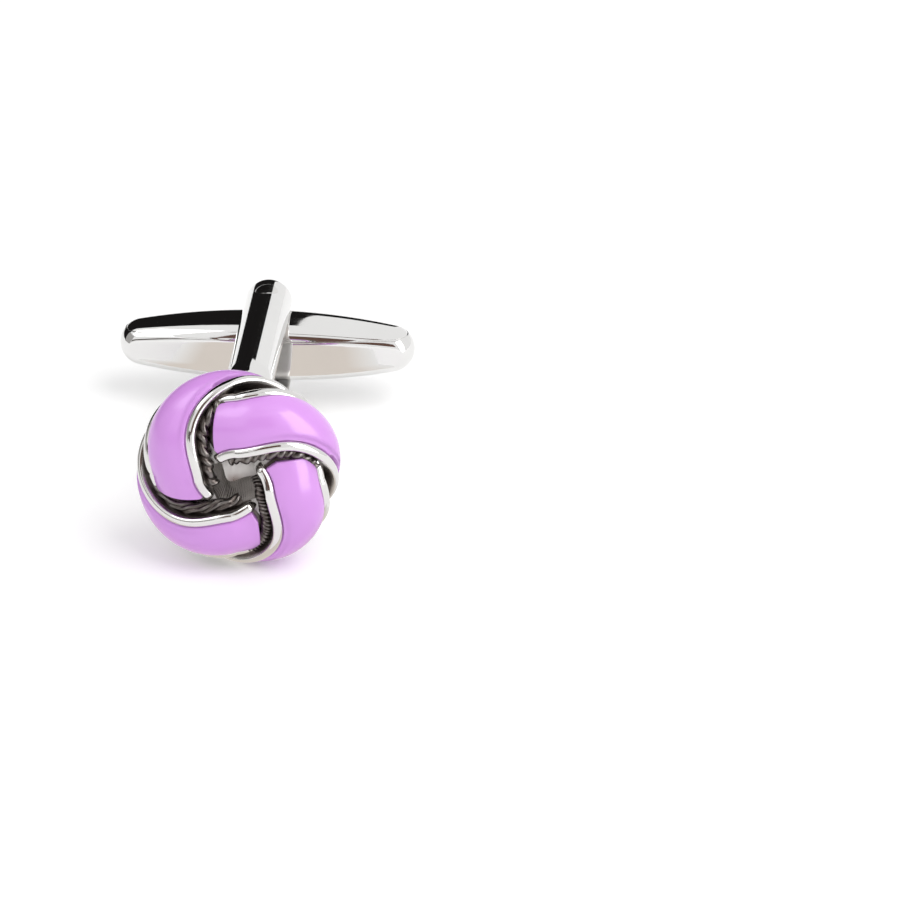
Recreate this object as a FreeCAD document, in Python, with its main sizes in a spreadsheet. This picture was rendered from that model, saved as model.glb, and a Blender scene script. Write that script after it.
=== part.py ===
"""Knot cufflink with a swivel bullet back.

Millimetres, +Z up. The post runs along +Y from the knot to the toggle, the toggle lies along X at rest
and swivels about Z. The origin is on the post axis in the plane that touches the back of the knot,
where the cuff bears.
"""
import FreeCAD, Part
import math
import os
import Sketcher

Vector = FreeCAD.Vector
ORIGIN = Vector(0, 0, 0)
AXIS_Y = Vector(0, 1, 0)

# Four straps start at the front, each a quarter turn after the last.
STRAPS = {"left": 180, "top": 90, "right": 0, "bottom": -90}
STEP_DEG = 360 / len(STRAPS)
STRAP_STEPS = 31
COVER_STEPS = 11
ACROSS_STEPS = 24

# Driving dimensions: name, size in millimetres (angles in degrees) and meaning.
SIZES = [
    ("knot_radius", 6.1, "knot centre to the mean level of the rim crests at the girth"),
    ("knot_half_depth", 3.15, "knot centre to the mean level of the rim crests at the poles"),
    ("knot_back", 3.3, "knot centre to the cuff seat"),
    ("weave_rise", 0.48, "rise of a strap over, and fall under, the mean level"),
    ("weave_start_deg", 42.5, "polar angle of a strap's middle line beside the front hole"),
    ("weave_girth_deg", 64, "turn of a strap from beside the hole to the girth"),
    ("strap_from_deg", -42, "turn at which a strap starts, beside the front hole"),
    ("strap_to_deg", 186, "turn at which a strap ends, under the strap after it"),
    ("dive_from_deg", 105, "turn at which a strap begins to sink behind the knot"),
    ("dive_to_deg", 150, "turn at which a strap lies under the strap after it"),
    ("strap_width", 4.5, "strap over both rims"),
    ("strap_depth", 1.9, "crest level down to the strap's underside at its middle, inside the core"),
    ("strap_side_depth", 0.95, "rim crest down to the lower edge of the strap's side"),
    ("rim_width", 0.68, "one raised rim"),
    ("rim_shoulder", 0.26, "fall from a rim's crest to its edges"),
    ("cover_depth", 1.5, "crest level of a strap down to the lowest enamel that it covers"),
    ("enamel_depth", 0.55, "rim crest down to the floor of the enamel field"),
    ("enamel_crown", 0.3, "rise of the enamel over the rims at the middle of the strap"),
    ("enamel_set_down", 0.08, "enamel edge below the rim crest"),
    ("enamel_fit", 0.02, "clearance between enamel and metal"),
    ("enamel_inner_deg", -34, "turn at which the enamel starts at the inner rim"),
    ("enamel_outer_deg", -12, "turn at which the enamel starts at the outer rim"),
    ("enamel_start_gap", 0.15, "least gap between the covering rim and the start of the enamel"),
    ("enamel_end_gap", 0.3, "bare field between the end of the enamel and the covering rim"),
    ("enamel_plate_gap", 0.12, "bare field between the enamel and the back plate"),
    ("core_drop", 1.05, "core surface below the mean level of the rim crests"),
    ("hollow_radius", 1.9, "hollow through the core, behind the front hole"),
    ("plate_radius", 4.4, "plate that closes the back of the knot"),
    ("plate_edge", 0.5, "plate at its edge"),
    ("plate_dome", 0.9, "rise of the plate's back from its edge to its middle"),
    ("plate_fit", 0.03, "clearance between the plate and its seat"),
    ("stem_radius", 1.4, "round stem that joins the post to the plate"),
    ("stem_engage", 1.9, "stem inside the knot, from the cuff seat"),
    ("stem_fit", 0.02, "clearance between the stem and the plate"),
    ("post_reach", 16.7, "cuff seat to the pivot axis"),
    ("yoke_setback", 2.8, "cuff seat to the back of the fork's bow"),
    ("bend_radius", 0.4, "inside of the two bends of the fork"),
    ("leg_width", 3.2, "leg of the fork along X"),
    ("leg_thickness", 1.55, "leg of the fork at its crown"),
    ("leg_edge", 0.1, "straight side of the half-round leg"),
    ("leg_overhang", 1.35, "pivot axis to the centre of the leg's round end"),
    ("fork_gap", 5.1, "between the inner faces of the legs"),
    ("pin_diameter", 1.6, "pivot pin"),
    ("pin_rivet_fit", 0.01, "clearance between the pin and the legs"),
    ("pin_run_fit", 0.04, "clearance between the pin and the toggle"),
    ("pin_set_down", 0.01, "domed pin ends below the crown of the legs"),
    ("pin_flats_height", 2.4, "square middle of the pin"),
    ("toggle_length", 20.0, "toggle over its noses"),
    ("toggle_height", 4.8, "toggle along the pivot axis"),
    ("toggle_depth", 4.0, "toggle over its flat sides at the middle"),
    ("toggle_nose_radius", 1.6, "rounding of the noses"),
    ("toggle_side_radius", 66.0, "bow of the flat sides along the toggle"),
    ("seam_height", 1.1, "seam between tray and lid above the toggle's axis"),
    ("lid_inset", 0.02, "lid inside the outline of the tray"),
    ("lid_end_inset", 0.02, "lid's noses behind those of the tray"),
    ("toggle_wall", 0.5, "side wall of the tray round its cavity"),
    ("lid_wall", 0.35, "lid beside the roof of its cavity, along Y"),
    ("cavity_half_length", 6.5, "pivot axis to the end of the cavity"),
    ("cavity_floor", 1.3, "cavity below the toggle's axis"),
    ("cavity_roof", 1.5, "cavity above the toggle's axis"),
    ("spring_thickness", 0.2, "leaf spring strip"),
    ("spring_height", 1.8, "leaf spring along the pivot axis"),
    ("spring_half_length", 5.8, "pivot axis to the end of the leaf spring"),
    ("spring_fit", 0.03, "clearance of the leaf spring at its bearings"),
    ("overrun", 1.0, "length by which a cut passes the solid"),
]

# Sizes that follow from the driving ones: name and formula.
DERIVED = [
    ("core_radius", "knot_radius - core_drop"),
    ("core_half_depth", "knot_half_depth - core_drop"),
    ("hollow_length", "2 * knot_half_depth"),
    ("hollow_front", "-knot_back - knot_half_depth"),
    ("plate_thickness", "plate_edge + plate_dome"),
    ("plate_seat", "-plate_thickness"),
    ("plate_dome_radius", "(plate_radius ^ 2 + plate_dome ^ 2) / (2 * plate_dome)"),
    ("plate_seat_radius", "plate_radius + plate_fit"),
    ("plate_seat_length", "plate_thickness + overrun"),
    ("plate_bore_radius", "stem_radius + stem_fit"),
    ("plate_bore_fall", "plate_dome_radius - sqrt(plate_dome_radius ^ 2 - plate_bore_radius ^ 2)"),
    ("leg_run", "post_reach - yoke_setback"),
    ("leg_half_width", "leg_width / 2"),
    ("leg_inner", "fork_gap / 2"),
    ("leg_shoulder", "leg_inner + leg_edge"),
    ("leg_outer", "leg_inner + leg_thickness"),
    ("leg_sagitta", "leg_thickness - leg_edge"),
    ("leg_crown_radius", "(leg_half_width ^ 2 + leg_sagitta ^ 2) / (2 * leg_sagitta)"),
    ("bow_inner", "leg_run - leg_thickness"),
    ("bow_shoulder", "bow_inner + leg_edge"),
    ("bow_length", "2 * bend_height"),
    ("bend_centre", "bow_inner - bend_radius"),
    ("bend_height", "leg_inner - bend_radius"),
    ("bend_shoulder", "bend_radius + leg_edge"),
    ("leg_straight", "leg_overhang + bend_centre"),
    ("stem_length", "leg_run - bow_shoulder + yoke_setback + stem_engage"),
    ("pin_radius", "pin_diameter / 2"),
    ("pin_length", "2 * leg_outer"),
    ("pin_shoulder", "leg_shoulder - pin_set_down"),
    ("pin_clear", "leg_outer + overrun"),
    ("pin_flat", "pin_radius / sqrt(2)"),
    ("pin_clear_radius", "pin_radius + overrun"),
    ("rivet_hole_radius", "pin_radius + pin_rivet_fit"),
    ("run_hole_radius", "pin_radius + pin_run_fit"),
    ("tray_half_length", "toggle_length / 2"),
    ("tray_radius", "toggle_height / 2"),
    ("tray_half_depth", "toggle_depth / 2"),
    ("lid_half_length", "tray_half_length - lid_end_inset"),
    ("lid_radius", "tray_radius - lid_inset"),
    ("lid_half_depth", "tray_half_depth - lid_inset"),
    ("side_reach", "tray_half_length + overrun"),
    ("side_top", "tray_radius + overrun"),
    ("tray_cavity_half_depth", "tray_half_depth - toggle_wall"),
    ("tray_cavity_side_radius", "toggle_side_radius - toggle_wall"),
    ("tray_cavity_end_depth",
     "tray_cavity_half_depth - tray_cavity_side_radius"
     " + sqrt(tray_cavity_side_radius ^ 2 - cavity_half_length ^ 2)"),
    ("tray_cavity_depth", "seam_height + cavity_floor"),
    ("lid_cavity_depth", "cavity_roof - seam_height"),
    ("spring_seat", "tray_cavity_half_depth - tray_cavity_side_radius"
     " + sqrt(tray_cavity_side_radius ^ 2 - spring_half_length ^ 2)"),
    ("spring_end_back", "spring_seat - spring_fit"),
    ("spring_end_front", "spring_end_back - spring_thickness"),
    ("spring_mid_front", "pin_flat + spring_fit"),
    ("spring_bow", "spring_end_front - spring_mid_front"),
    ("spring_radius", "(spring_half_length ^ 2 + spring_bow ^ 2) / (2 * spring_bow)"),
]

# The tray and the lid have the same outline: a long arc that runs into a nose at each end.
for shell in ("tray", "lid"):
    DERIVED += [
        (shell + "_nose_centre", shell + "_half_length - toggle_nose_radius"),
        (shell + "_long_radius",
         "({0}_nose_centre ^ 2 + {0}_radius ^ 2 - toggle_nose_radius ^ 2)"
         " / (2 * ({0}_radius - toggle_nose_radius))".format(shell)),
        (shell + "_centre_gap", "{0}_long_radius - toggle_nose_radius".format(shell)),
        (shell + "_tangent_x",
         "{0}_nose_centre * (1 + toggle_nose_radius / {0}_centre_gap)".format(shell)),
        (shell + "_tangent_z",
         "toggle_nose_radius * ({0}_long_radius - {0}_radius) / {0}_centre_gap".format(shell)),
        (shell + "_side_end",
         shell + "_half_depth - toggle_side_radius + sqrt(toggle_side_radius ^ 2 - side_reach ^ 2)"),
    ]

# The lid's cavity keeps a wall beside its roof, at the middle and at its ends.
DERIVED += [
    ("lid_cavity_half_depth", "sqrt(lid_radius ^ 2 - cavity_roof ^ 2) - lid_wall"),
    ("lid_cavity_radius", "lid_radius - lid_long_radius"
     " + sqrt(lid_long_radius ^ 2 - cavity_half_length ^ 2)"),
    ("lid_cavity_end_depth", "sqrt(lid_cavity_radius ^ 2 - cavity_roof ^ 2) - lid_wall"),
    ("lid_cavity_bow", "lid_cavity_half_depth - lid_cavity_end_depth"),
    ("lid_cavity_side_radius", "(cavity_half_length ^ 2 + lid_cavity_bow ^ 2) / (2 * lid_cavity_bow)"),
]

doc = FreeCAD.newDocument("cufflink")
sheet = doc.addObject("Spreadsheet::Sheet", "Sizes")


def fill_sheet():
    """Write the driving sizes and the formulas, one row each."""
    row = 1
    for name, size, meaning in SIZES:
        sheet.set("A%d" % row, name)
        sheet.set("B%d" % row, str(size))
        sheet.setAlias("B%d" % row, name)
        sheet.set("C%d" % row, meaning)
        row += 1
    for name, formula in DERIVED:
        sheet.set("A%d" % row, name)
        sheet.set("B%d" % row, "=" + formula)
        sheet.setAlias("B%d" % row, name)
        row += 1
    doc.recompute()


def size(name):
    """A size from the sheet; a leading minus sign negates it and 0 stays 0."""
    if name == 0:
        return 0.0
    if name.startswith("-"):
        return -float(sheet.get(name[1:]))
    return float(sheet.get(name))


def bind(obj, prop, name):
    """Tie a property to a size of the sheet."""
    if name.startswith("-"):
        obj.setExpression(prop, "-Sizes." + name[1:])
    else:
        obj.setExpression(prop, "Sizes." + name)


def new_body(label, place="post_reach"):
    """A body whose local origin is the pivot, on the post axis; with no place it is the cuff seat."""
    body = doc.addObject("PartDesign::Body", label)
    body.Label = label
    if place is not None:
        bind(body, "Placement.Base.y", place)
    return body


def new_sketch(body, name, role, offset=None):
    """A sketch on one of the body's own origin planes, moved along its normal by a size."""
    sketch = body.newObject("Sketcher::SketchObject", body.Name + "_" + name)
    plane = [feature for feature in body.Origin.OriginFeatures if feature.Role == role][0]
    sketch.AttachmentSupport = [(plane, "")]
    sketch.MapMode = "FlatFace"
    if offset is not None:
        bind(sketch, "AttachmentOffset.Base.z", offset)
    return sketch


def pin_down(sketch, geometry, end, x_name, y_name):
    """Place one end of a line or arc by two sizes measured from the sketch's origin."""
    for kind, axis, name in (("DistanceX", -2, x_name), ("DistanceY", -1, y_name)):
        if name == 0:
            sketch.addConstraint(Sketcher.Constraint("PointOnObject", geometry, end, axis))
            continue
        if name.startswith("-"):
            ends = (geometry, end, -1, 1)
        else:
            ends = (-1, 1, geometry, end)
        index = sketch.addConstraint(Sketcher.Constraint(kind, *ends, abs(size(name))))
        sketch.setExpression("Constraints[%d]" % index, "Sizes." + name.lstrip("-"))


def arc_between(start, end, radius, bulge):
    """The shorter arc of a radius; bulge is a vector on the side to which it curves."""
    chord = end - start
    middle = (start + end) / 2
    across = Vector(-chord.y, chord.x, 0).normalize()
    if across.dot(bulge) < 0:
        across = -across
    half = chord.Length / 2
    sagitta = radius - math.sqrt(radius * radius - half * half)
    return Part.Arc(start, middle + across * sagitta, end)


def draw_outline(sketch, corners):
    """A closed outline. A corner is (x, y), or (x, y, radius, bulge) if an arc follows it."""
    points = [Vector(size(corner[0]), size(corner[1]), 0) for corner in corners]
    edges = []
    for index, corner in enumerate(corners):
        start = points[index]
        end = points[(index + 1) % len(points)]
        if len(corner) == 2:
            edges.append(sketch.addGeometry(Part.LineSegment(start, end), False))
            continue
        edge = sketch.addGeometry(arc_between(start, end, size(corner[2]), Vector(*corner[3])), False)
        edges.append(edge)
    starts = []
    ends = []
    for index, edge in enumerate(edges):
        # An arc is stored counterclockwise, so its first point may be the outline's next corner.
        first = sketch.getPoint(edge, 1)
        following = points[(index + 1) % len(points)]
        forward = first.distanceToPoint(points[index]) < first.distanceToPoint(following)
        starts.append((edge, 1 if forward else 2))
        ends.append((edge, 2 if forward else 1))
    for index, corner in enumerate(corners):
        sketch.addConstraint(Sketcher.Constraint("Coincident", *ends[index - 1], *starts[index]))
        pin_down(sketch, *starts[index], corner[0], corner[1])
        if len(corner) == 4:
            radius = sketch.addConstraint(Sketcher.Constraint("Radius", edges[index], size(corner[2])))
            sketch.setExpression("Constraints[%d]" % radius, "Sizes." + corner[2])


def draw_circle(sketch, radius_name):
    """A circle about the sketch's origin."""
    edge = sketch.addGeometry(Part.Circle(ORIGIN, Vector(0, 0, 1), size(radius_name)), False)
    sketch.addConstraint(Sketcher.Constraint("Coincident", edge, 3, -1, 1))
    radius = sketch.addConstraint(Sketcher.Constraint("Radius", edge, size(radius_name)))
    sketch.setExpression("Constraints[%d]" % radius, "Sizes." + radius_name)


def add_pad(body, sketch, length, symmetric=False):
    """Pad a sketch by a size."""
    pad = body.newObject("PartDesign::Pad", sketch.Name + "_pad")
    pad.Profile = sketch
    pad.SideType = "Symmetric" if symmetric else "One side"
    bind(pad, "Length", length)
    return pad


def add_pocket(body, sketch, length=None, reverse=False):
    """Cut a sketch by a size on one side, or through all on both."""
    pocket = body.newObject("PartDesign::Pocket", sketch.Name + "_pocket")
    pocket.Profile = sketch
    if length is None:
        pocket.SideType = "Symmetric"
        pocket.Type = "ThroughAll"
    else:
        pocket.Reversed = reverse
        bind(pocket, "Length", length)
    return pocket


def add_turning(body, sketch, axis, angle_deg=360):
    """Turn a sketch about one of its own axes."""
    turning = body.newObject("PartDesign::Revolution", sketch.Name + "_turning")
    turning.Profile = sketch
    turning.ReferenceAxis = (sketch, [axis])
    turning.Angle = angle_deg
    return turning


# The strap of the knot. Points are measured from the centre of the knot, with its front at -Y.

def strap_rise(turn_deg):
    """The level of a strap: low under the strap before it, high over its own run, low again at its end."""
    high = size("weave_rise")
    half_step = STEP_DEG / 2
    if turn_deg < half_step:
        return high * math.sin(math.radians(90 * max(turn_deg / half_step, -1)))
    dive = (turn_deg - size("dive_from_deg")) / (size("dive_to_deg") - size("dive_from_deg"))
    return high * math.cos(math.pi * min(max(dive, 0), 1))


def strap_line(turn_deg):
    """A point of the strap's middle line, and the half axes of the spheroid that it lies on there."""
    start = math.radians(size("weave_start_deg"))
    share = min(max(turn_deg / size("weave_girth_deg"), 0), 2)
    polar = start + (math.pi / 2 - start) * (1 - math.cos(math.pi / 2 * share))
    rise = strap_rise(turn_deg)
    girth = size("knot_radius") + rise
    depth = size("knot_half_depth") + rise
    ring = girth * math.sin(polar)
    angle = -math.radians(turn_deg)
    return Vector(ring * math.cos(angle), -depth * math.cos(polar), ring * math.sin(angle)), girth, depth


class Section:
    """The plane across the strap at a turn, with the line in which it cuts the spheroid."""

    def __init__(self, turn_deg):
        step = 1 / ACROSS_STEPS
        self.centre, self.girth, self.depth = strap_line(turn_deg)
        along = (strap_line(turn_deg + step)[0] - strap_line(turn_deg - step)[0]).normalize()
        normal = self.gradient(self.centre)
        self.up = (normal - along * normal.dot(along)).normalize()
        self.side = self.up.cross(along).normalize()

    def gradient(self, point):
        """The outward normal of the spheroid."""
        ring = self.girth ** 2
        return Vector(point.x / ring, point.y / self.depth ** 2, point.z / ring).normalize()

    def drop_on(self, point):
        """Move a point along the section's up line on to the spheroid."""
        scale = Vector(1 / self.girth, 1 / self.depth, 1 / self.girth)
        place = Vector(point.x * scale.x, point.y * scale.y, point.z * scale.z)
        way = Vector(self.up.x * scale.x, self.up.y * scale.y, self.up.z * scale.z)
        square = way.dot(way)
        half = place.dot(way)
        root = math.sqrt(max(half * half - square * (place.dot(place) - 1), 0))
        return point + self.up * ((root - half) / square)

    def inward(self, point):
        """The unit vector from a point of the line to the inside, within the plane."""
        normal = self.gradient(point)
        flat = self.side * normal.dot(self.side) + self.up * normal.dot(self.up)
        return -flat.normalize()

    def at(self, distance, below):
        """A point at a distance across the strap, measured along the line, and below the rim crests."""
        point = self.centre
        step = distance / ACROSS_STEPS
        for _ in range(ACROSS_STEPS):
            inward = self.inward(point)
            tangent = self.side * inward.dot(self.up) * -1 + self.up * inward.dot(self.side)
            point = self.drop_on(point + tangent * step)
        return point + self.inward(point) * below


def line(start, end):
    """A straight edge."""
    return Part.LineSegment(start, end).toShape()


def curve(start, middle, end):
    """A parabolic edge that passes through a middle point."""
    parabola = Part.BezierCurve()
    parabola.setPoles([start, middle * 2 - (start + end) / 2, end])
    return parabola.toShape()


def strap_section(turn_deg):
    """The strap's outline: two rims, the floor of the enamel field and the underside in the core."""
    cut = Section(turn_deg)
    half = size("strap_width") / 2
    rim = size("rim_width")
    shoulder = size("rim_shoulder")
    floor = size("enamel_depth")
    edges = []
    for side in (1, -1):
        outer = cut.at(side * half, shoulder)
        crest = cut.at(side * (half - rim / 2), 0)
        inner = cut.at(side * (half - rim), shoulder)
        foot = cut.at(side * (half - rim), floor)
        base = cut.at(side * half, size("strap_side_depth"))
        edges.append((outer, crest, inner, foot, base))
    outer, crest, inner, foot, base = edges[0]
    far_outer, far_crest, far_inner, far_foot, far_base = edges[1]
    return Part.Wire([
        line(base, outer),
        curve(outer, crest, inner),
        line(inner, foot),
        curve(foot, cut.at(0, floor), far_foot),
        line(far_foot, far_inner),
        curve(far_inner, far_crest, far_outer),
        line(far_outer, far_base),
        curve(far_base, cut.at(0, size("strap_depth")), base),
    ])


def enamel_section(turn_deg):
    """The enamel between the rims, with a crowned top."""
    cut = Section(turn_deg)
    fit = size("enamel_fit")
    half = size("strap_width") / 2 - size("rim_width") - fit
    low = size("enamel_depth") - fit
    high = size("enamel_set_down")
    foot = cut.at(half, low)
    edge = cut.at(half, high)
    far_foot = cut.at(-half, low)
    far_edge = cut.at(-half, high)
    return Part.Wire([
        line(foot, edge),
        curve(edge, cut.at(0, -size("enamel_crown")), far_edge),
        line(far_edge, far_foot),
        curve(far_foot, cut.at(0, low), foot),
    ])


def cover_section(turn_deg, gap):
    """The space over and under the strap, wider by a gap on each side."""
    cut = Section(turn_deg)
    half = size("strap_width") / 2 + gap
    high = -size("overrun")
    deep = size("cover_depth")
    foot = cut.at(half, deep)
    edge = cut.at(half, high)
    far_foot = cut.at(-half, deep)
    far_edge = cut.at(-half, high)
    return Part.Wire([
        line(foot, edge),
        curve(edge, cut.at(0, high), far_edge),
        line(far_edge, far_foot),
        line(far_foot, foot),
    ])


def loft_along(section, start_deg, end_deg, steps):
    """A solid through sections at even steps along the strap."""
    wires = []
    for index in range(steps + 1):
        wires.append(section(start_deg + (end_deg - start_deg) * index / steps))
    return Part.makeLoft(wires, True, False)


def start_block():
    """The space before the slanted start of the enamel, from its inner rim to its outer one."""
    half = size("strap_width") / 2 - size("rim_width")
    inner = Section(size("enamel_inner_deg")).at(-half, 0)
    outer = Section(size("enamel_outer_deg")).at(half, 0)
    middle = (inner + outer) / 2
    along = (outer - inner).normalize()
    normal = Vector(middle.x, middle.y, middle.z).normalize()
    up = (normal - along * normal.dot(along)).normalize()
    reach = along * size("strap_width")
    top = up * (size("enamel_crown") + size("overrun"))
    deep = up * -size("cover_depth")
    face = Part.Face(Part.makePolygon([
        middle - reach + top,
        middle + reach + top,
        middle + reach + deep,
        middle - reach + deep,
        middle - reach + top,
    ]))
    back = up.cross(along)
    before = Section(size("strap_from_deg")).centre - middle
    if back.dot(before) < 0:
        back = -back
    return face.extrude(back * size("strap_width"))


def turned(shape, place_deg):
    """A copy of a shape of the strap at zero, turned to another place round the post axis."""
    copy = shape.copy()
    copy.rotate(ORIGIN, AXIS_Y, -place_deg)
    return copy


def cover(gap_name, middle_deg):
    """The space that a strap takes up, with a gap, for a step to each side of a turn."""
    gap = size(gap_name)
    return loft_along(lambda turn_deg: cover_section(turn_deg, gap),
                      middle_deg - STEP_DEG / 2, middle_deg + STEP_DEG / 2, COVER_STEPS)


def add_shape(name, shape):
    """A shape of the knot, moved from the knot's centre to its place on the post axis."""
    feature = doc.addObject("Part::Feature", name)
    feature.Label = name
    feature.Shape = shape
    bind(feature, "Placement.Base.y", "-knot_back")
    return feature


def add_bore(name, base, radius, length, front):
    """Cut a round bore along the post axis."""
    tool = doc.addObject("Part::Cylinder", name)
    tool.Placement.Rotation = FreeCAD.Rotation(Vector(1, 0, 0), -90)
    bind(tool, "Radius", radius)
    bind(tool, "Height", length)
    bind(tool, "Placement.Base.y", front)
    cut = doc.addObject("Part::Cut", name + "_cut")
    cut.Base = base
    cut.Tool = tool
    return cut


def make_casting():
    """Four straps on a core that is hollow behind the front hole, with a seat for the back plate."""
    core = doc.addObject("Part::Ellipsoid", "core")
    core.Angle1 = -90
    core.Angle2 = 90
    core.Angle3 = 360
    bind(core, "Radius1", "core_radius")
    bind(core, "Radius2", "core_radius")
    bind(core, "Radius3", "core_half_depth")
    bind(core, "Placement.Base.y", "-knot_back")
    strap = loft_along(strap_section, size("strap_from_deg"), size("strap_to_deg"), STRAP_STEPS)
    straps = [add_shape("strap_" + place, turned(strap, angle)) for place, angle in STRAPS.items()]
    weave = doc.addObject("Part::MultiFuse", "weave")
    weave.Refine = False
    weave.Shapes = [add_bore("hollow", core, "hollow_radius", "hollow_length", "hollow_front")] + straps
    casting = add_bore("plate_seat", weave, "plate_seat_radius", "plate_seat_length", "plate_seat")
    casting.Label = "knot_casting"
    return casting


def make_enamel():
    """The enamel field of each strap, cut back from the straps that cover its ends and from the plate."""
    field = loft_along(enamel_section, size("strap_from_deg"), size("strap_to_deg"), STRAP_STEPS)
    field = field.cut(turned(cover("enamel_start_gap", STEP_DEG / 2), STEP_DEG))
    field = field.cut(start_block())
    field = field.cut(turned(cover("enamel_end_gap", STEP_DEG), -STEP_DEG))
    plate = Part.makeCylinder(size("plate_radius") + size("enamel_plate_gap"), size("plate_seat_length"),
                              Vector(0, size("knot_back") + size("plate_seat"), 0), AXIS_Y)
    field = field.cut(plate)
    field = max(field.Solids, key=lambda solid: solid.Volume)
    return [add_shape("enamel_" + place, turned(field, angle)) for place, angle in STRAPS.items()]


def make_back_plate():
    """The domed plate that closes the back of the knot and carries the stem."""
    body = new_body("back_plate", None)
    profile = new_sketch(body, "profile", "YZ_Plane")
    draw_outline(profile, [
        ("-plate_thickness", "plate_bore_radius"),
        ("-plate_thickness", "plate_radius"),
        ("-plate_dome", "plate_radius", "plate_dome_radius", (1, 1, 0)),
        ("-plate_bore_fall", "plate_bore_radius"),
    ])
    add_turning(body, profile, "H_Axis")
    return body


def bar_outline(inner, shoulder):
    """The half-round section of the fork's bar, with its flat at one size and its shoulders at another."""
    bulge = (0, -1, 0) if inner.startswith("-") else (0, 1, 0)
    return [
        ("-leg_half_width", inner),
        ("leg_half_width", inner),
        ("leg_half_width", shoulder, "leg_crown_radius", bulge),
        ("-leg_half_width", shoulder),
    ]


def leg_end_outline(sign):
    """Half of the leg's section, which is turned about its inner edge into the round end."""
    bulge = (1, -1, 0) if sign else (1, 1, 0)
    return [
        (0, sign + "leg_inner"),
        ("leg_half_width", sign + "leg_inner"),
        ("leg_half_width", sign + "leg_shoulder", "leg_crown_radius", bulge),
        (0, sign + "leg_outer"),
    ]


def make_post_fork():
    """A half-round bar bent to a U, with two round ends, and the stem that enters the knot."""
    body = new_body("post_fork")
    bow = new_sketch(body, "bow", "XY_Plane")
    draw_outline(bow, bar_outline("-bow_inner", "-bow_shoulder"))
    add_pad(body, bow, "bow_length", symmetric=True)
    for name, sign in (("upper", ""), ("lower", "-")):
        bend = new_sketch(body, name + "_bend", "XZ_Plane", "bend_centre")
        bind(bend, "AttachmentOffset.Base.y", sign + "bend_height")
        draw_outline(bend, bar_outline(sign + "bend_radius", sign + "bend_shoulder"))
        turning = add_turning(body, bend, "H_Axis", 90)
        turning.Reversed = bool(sign)
        leg = new_sketch(body, name + "_leg", "XZ_Plane", "-leg_overhang")
        draw_outline(leg, bar_outline(sign + "leg_inner", sign + "leg_shoulder"))
        add_pad(body, leg, "leg_straight")
        end = new_sketch(body, name + "_end", "XZ_Plane", "-leg_overhang")
        draw_outline(end, leg_end_outline(sign))
        add_turning(body, end, "V_Axis")
    stem = new_sketch(body, "stem", "XZ_Plane", "bow_shoulder")
    draw_circle(stem, "stem_radius")
    add_pad(body, stem, "stem_length")
    hole = new_sketch(body, "rivet_hole", "XY_Plane")
    draw_circle(hole, "rivet_hole_radius")
    add_pocket(body, hole)
    return body


def make_pivot_pin():
    """The round pin with a square middle and ends domed like the legs."""
    body = new_body("pivot_pin")
    shank = new_sketch(body, "shank", "XY_Plane")
    draw_circle(shank, "pin_radius")
    add_pad(body, shank, "pin_length", symmetric=True)
    flats = new_sketch(body, "flats", "XY_Plane")
    draw_circle(flats, "pin_clear_radius")
    draw_outline(flats, [
        ("-pin_flat", "-pin_flat"),
        ("pin_flat", "-pin_flat"),
        ("pin_flat", "pin_flat"),
        ("-pin_flat", "pin_flat"),
    ])
    cut = add_pocket(body, flats, "pin_flats_height")
    cut.SideType = "Symmetric"
    for name, sign, bulge in (("upper_dome", "", (0, 1, 0)), ("lower_dome", "-", (0, -1, 0))):
        dome = new_sketch(body, name, "XZ_Plane")
        draw_outline(dome, [
            ("-leg_half_width", sign + "pin_shoulder", "leg_crown_radius", bulge),
            ("leg_half_width", sign + "pin_shoulder"),
            ("leg_half_width", sign + "pin_clear"),
            ("-leg_half_width", sign + "pin_clear"),
        ])
        add_pocket(body, dome)
    return body


def add_toggle_form(body, shell):
    """The bullet form of the tray or the lid: turned about X, with two slightly bowed flat sides."""
    outline = new_sketch(body, "outline", "XZ_Plane")
    draw_outline(outline, [
        ("-" + shell + "_half_length", 0, "toggle_nose_radius", (-1, 1, 0)),
        ("-" + shell + "_tangent_x", shell + "_tangent_z", shell + "_long_radius", (0, 1, 0)),
        (shell + "_tangent_x", shell + "_tangent_z", "toggle_nose_radius", (1, 1, 0)),
        (shell + "_half_length", 0),
    ])
    add_turning(body, outline, "H_Axis")
    sides = new_sketch(body, "sides", "XY_Plane")
    for sign, bulge in (("", (0, 1, 0)), ("-", (0, -1, 0))):
        draw_outline(sides, [
            ("-side_reach", sign + shell + "_side_end", "toggle_side_radius", bulge),
            ("side_reach", sign + shell + "_side_end"),
            ("side_reach", sign + "side_top"),
            ("-side_reach", sign + "side_top"),
        ])
    add_pocket(body, sides)


def add_seam_cut(body, far):
    """Take away what lies past the seam, up to a far size above or below."""
    seam = new_sketch(body, "seam", "XZ_Plane")
    draw_outline(seam, [
        ("-side_reach", "seam_height"),
        ("side_reach", "seam_height"),
        ("side_reach", far),
        ("-side_reach", far),
    ])
    add_pocket(body, seam)


def add_cavity(body, shell, reverse):
    """Hollow the tray or the lid from the seam."""
    cavity = new_sketch(body, "cavity", "XY_Plane", "seam_height")
    end = shell + "_cavity_end_depth"
    radius = shell + "_cavity_side_radius"
    draw_outline(cavity, [
        ("-cavity_half_length", end, radius, (0, 1, 0)),
        ("cavity_half_length", end),
        ("cavity_half_length", "-" + end, radius, (0, -1, 0)),
        ("-cavity_half_length", "-" + end),
    ])
    add_pocket(body, cavity, shell + "_cavity_depth", reverse)


def make_toggle_shell(label, shell, far, reverse):
    """The tray or the lid, with the hole in which it turns on the pin."""
    body = new_body(label)
    add_toggle_form(body, shell)
    add_seam_cut(body, far)
    add_cavity(body, shell, reverse)
    hole = new_sketch(body, "pin_hole", "XY_Plane")
    draw_circle(hole, "run_hole_radius")
    add_pocket(body, hole)
    return body


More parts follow.
